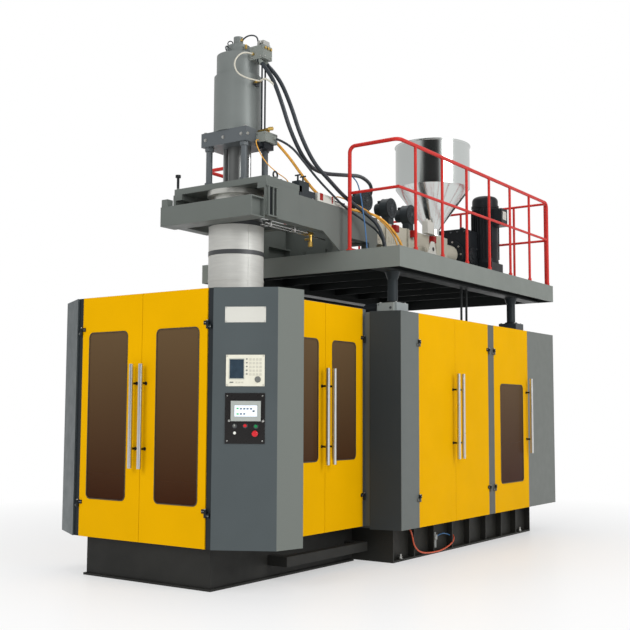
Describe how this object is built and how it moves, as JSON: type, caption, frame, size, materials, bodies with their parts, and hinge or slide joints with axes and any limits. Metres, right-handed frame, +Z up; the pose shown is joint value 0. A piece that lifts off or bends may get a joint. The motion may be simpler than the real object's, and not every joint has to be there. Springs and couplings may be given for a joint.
{
  "type": "blow moulding machine",
  "caption": "Accumulator-head blow moulding machine with a guarded mould space, rear cabinet, lifting platform, extruder with hopper, ram cylinder over the head and hinged yellow doors.",
  "frame": {"origin": "on the floor under the die axis, on the underside of the front base's cross member", "axes": "+X towards the control side, +Y from the mould doors to the extruder drive, +Z up"},
  "size_m": [2.7939, 6.5789, 5.412],
  "materials": {
    "door_yellow": "satin",
    "stainless": "brushed",
    "tinted_pane": "gloss",
    "dark_frame": "satin",
    "slate_panel": "satin",
    "instrument_grey": "satin",
    "instrument_black": "satin",
    "red_plastic": "gloss",
    "green_plastic": "gloss",
    "machined_steel": "machined",
    "rail_red": "gloss",
    "machine_grey": "satin",
    "jacket_beige": "satin",
    "hose_black": "matt",
    "cable_orange": "matt"
  },
  "bodies": {
    "base": {"front_base": "dark_frame", "rear_base": "dark_frame", "enclosure_frame": "dark_frame", "cabinet_frame": "dark_frame", "left_column": "slate_panel", "control_column": "slate_panel", "parison_controller": "instrument_grey", "control_panel": "instrument_black", "fixed_panels": "slate_panel", "lift_sleeves": "dark_frame", "clamp_cylinders": "dark_frame", "hydraulic_unit": "dark_frame"},
    "front_left_door": {"front_left_door": "door_yellow", "front_left_door_handle": "stainless", "front_left_door_pane": "tinted_pane"},
    "front_right_door": {"front_right_door": "door_yellow", "front_right_door_handle": "stainless", "front_right_door_pane": "tinted_pane"},
    "side_door_front": {"side_door_front": "door_yellow", "side_door_front_handle": "stainless", "side_door_front_pane": "tinted_pane"},
    "side_door_rear": {"side_door_rear": "door_yellow", "side_door_rear_handle": "stainless", "side_door_rear_pane": "tinted_pane"},
    "cabinet_door_front": {"cabinet_door_front": "door_yellow", "cabinet_door_front_handle": "stainless"},
    "cabinet_door_middle": {"cabinet_door_middle": "door_yellow", "cabinet_door_middle_handle": "stainless"},
    "cabinet_door_rear": {"cabinet_door_rear": "door_yellow", "cabinet_door_rear_handle": "stainless", "cabinet_door_rear_pane": "tinted_pane"},
    "red_button": {"red_button": "red_plastic"},
    "green_button": {"green_button": "green_plastic"},
    "emergency_stop": {"emergency_stop": "red_plastic"},
    "selector": {"selector": "instrument_black"},
    "front_platen": {"front_platen": "machined_steel"},
    "rear_platen": {"rear_platen": "machined_steel"},
    "blow_pin": {"blow_pin": "machined_steel"},
    "platform": {"platform": "slate_panel", "lift_columns": "dark_frame", "guard_rail": "rail_red", "arm_frame": "machine_grey", "head_plate": "machine_grey", "cylinder_stand": "machine_grey", "accumulator_head": "machine_grey", "ram_cylinder": "machine_grey", "heater_cover": "stainless", "extruder_barrel": "jacket_beige", "hopper": "stainless", "gearbox": "machine_grey", "motor": "machine_grey", "blowers": "machine_grey", "hydraulic_blocks": "machine_grey", "ram_supply_hose": "hose_black", "ram_return_hose": "hose_black", "servo_hose": "hose_black", "heater_cable": "cable_orange"},
    "ram": {"ram": "machined_steel"},
    "die_core": {"die_core": "machined_steel"},
    "screw": {"screw": "machined_steel"}
  },
  "joints": [
    {"name": "front_left_door_hinge", "type": "hinge", "parent": "base", "child": "front_left_door", "pos_m": [-0.79, -1.341, 1.483], "axis": [0, 0, -1], "range_deg": [0, 110]},
    {"name": "front_right_door_hinge", "type": "hinge", "parent": "base", "child": "front_right_door", "pos_m": [0.79, -1.341, 1.483], "axis": [0, 0, 1], "range_deg": [0, 110]},
    {"name": "side_door_front_hinge", "type": "hinge", "parent": "base", "child": "side_door_front", "pos_m": [0.944, -0.435, 1.483], "axis": [0, 0, -1], "range_deg": [0, 105]},
    {"name": "side_door_rear_hinge", "type": "hinge", "parent": "base", "child": "side_door_rear", "pos_m": [0.944, 0.961, 1.483], "axis": [0, 0, 1], "range_deg": [0, 70]},
    {"name": "cabinet_door_front_hinge", "type": "hinge", "parent": "base", "child": "cabinet_door_front", "pos_m": [1.365, 1.378, 1.456], "axis": [0, 0, -1], "range_deg": [0, 110]},
    {"name": "cabinet_door_middle_hinge", "type": "hinge", "parent": "base", "child": "cabinet_door_middle", "pos_m": [1.365, 3.076, 1.456], "axis": [0, 0, 1], "range_deg": [0, 85]},
    {"name": "cabinet_door_rear_hinge", "type": "hinge", "parent": "base", "child": "cabinet_door_rear", "pos_m": [1.365, 3.217, 1.456], "axis": [0, 0, -1], "range_deg": [0, 85]},
    {"name": "red_button_press", "type": "slide", "parent": "base", "child": "red_button", "axis": [-0.4958, 0.8685, 0], "range_m": [0, 0.004], "stiffness_N_per_m": 700},
    {"name": "green_button_press", "type": "slide", "parent": "base", "child": "green_button", "axis": [-0.4958, 0.8685, 0], "range_m": [0, 0.004], "stiffness_N_per_m": 700},
    {"name": "emergency_stop_press", "type": "slide", "parent": "base", "child": "emergency_stop", "axis": [-0.4958, 0.8685, 0], "range_m": [0, 0.006]},
    {"name": "selector_turn", "type": "hinge", "parent": "base", "child": "selector", "pos_m": [1.02209, -1.23734, 1.412], "axis": [0.4958, -0.8685, 0], "range_deg": [0, 90]},
    {"name": "front_platen_slide", "type": "slide", "parent": "base", "child": "front_platen", "axis": [0, 1, 0], "range_m": [0, 0.25]},
    {"name": "rear_platen_slide", "type": "slide", "parent": "base", "child": "rear_platen", "axis": [0, -1, 0], "range_m": [0, 0.25]},
    {"name": "blow_pin_lift", "type": "slide", "parent": "base", "child": "blow_pin", "axis": [0, 0, 1], "range_m": [0, 0.2]},
    {"name": "platform_lift", "type": "slide", "parent": "base", "child": "platform", "axis": [0, 0, 1], "range_m": [0, 0.25]},
    {"name": "ram_stroke", "type": "slide", "parent": "platform", "child": "ram", "axis": [0, 0, 1], "range_m": [0, 0.45]},
    {"name": "die_core_stroke", "type": "slide", "parent": "platform", "child": "die_core", "axis": [0, 0, 1], "range_m": [0, 0.02]},
    {"name": "screw_spin", "type": "hinge", "parent": "platform", "child": "screw", "pos_m": [0.35, 2, 3.61], "axis": [0, 1, 0], "continuous": true}
  ],
  "couplings": [
    {"joint": "rear_platen_slide", "follows": "front_platen_slide", "ratio": 1}
  ]
}
